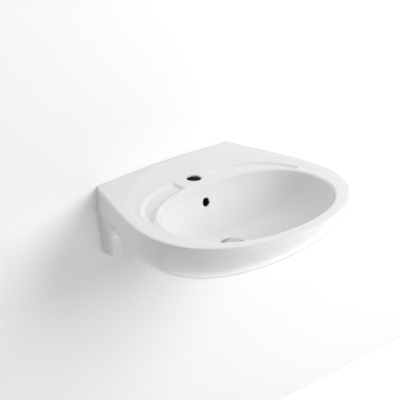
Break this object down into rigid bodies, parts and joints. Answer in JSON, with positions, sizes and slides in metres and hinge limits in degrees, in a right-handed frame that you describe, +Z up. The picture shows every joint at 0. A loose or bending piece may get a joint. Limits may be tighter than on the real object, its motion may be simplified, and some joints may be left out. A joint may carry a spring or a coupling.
{
  "type": "wall hung basin",
  "caption": "Glazed ceramic wash basin with a rounded front, sunken deck, tap hole and overflow, hung on the wall by bolts, with a click waste.",
  "frame": {"origin": "on the wall plane, in the middle of the basin, at the height of its rim", "axes": "+X across the basin, +Y into the wall, +Z up"},
  "size_m": [0.551, 0.5373, 0.192],
  "materials": {
    "glaze": "white gloss glaze",
    "chrome": "polished chrome on brass",
    "rubber": "black moulded rubber",
    "plug_nylon": "grey moulded nylon",
    "white_nylon": "white moulded nylon",
    "zinc_steel": "bright zinc plate",
    "cartridge_plastic": "ivory acetal",
    "spring_steel": "stainless spring wire"
  },
  "bodies": {
    "basin": {"ceramic_basin": "glaze", "wall_plug_left": "plug_nylon", "hanger_bolt_left": "zinc_steel", "bush_left": "white_nylon", "washer_left": "zinc_steel", "nut_left": "zinc_steel", "wall_plug_right": "plug_nylon", "hanger_bolt_right": "zinc_steel", "bush_right": "white_nylon", "washer_right": "zinc_steel", "nut_right": "zinc_steel", "waste_body": "chrome", "flange_seal": "rubber", "under_gasket": "rubber", "slip_washer": "white_nylon", "back_nut": "chrome", "cartridge_cup": "cartridge_plastic", "cartridge_collar": "cartridge_plastic", "plug_spring": "spring_steel"},
    "plug": {"plug_stem": "cartridge_plastic", "plug_cap": "chrome", "plug_ring": "rubber"}
  },
  "joints": [
    {"name": "plug_slide", "type": "slide", "parent": "basin", "child": "plug", "axis": [0, 0, 1], "range_m": [-0.0065, 0], "stiffness_N_per_m": 300, "springref_m": 0.01, "deforming": ["plug_spring"]}
  ]
}
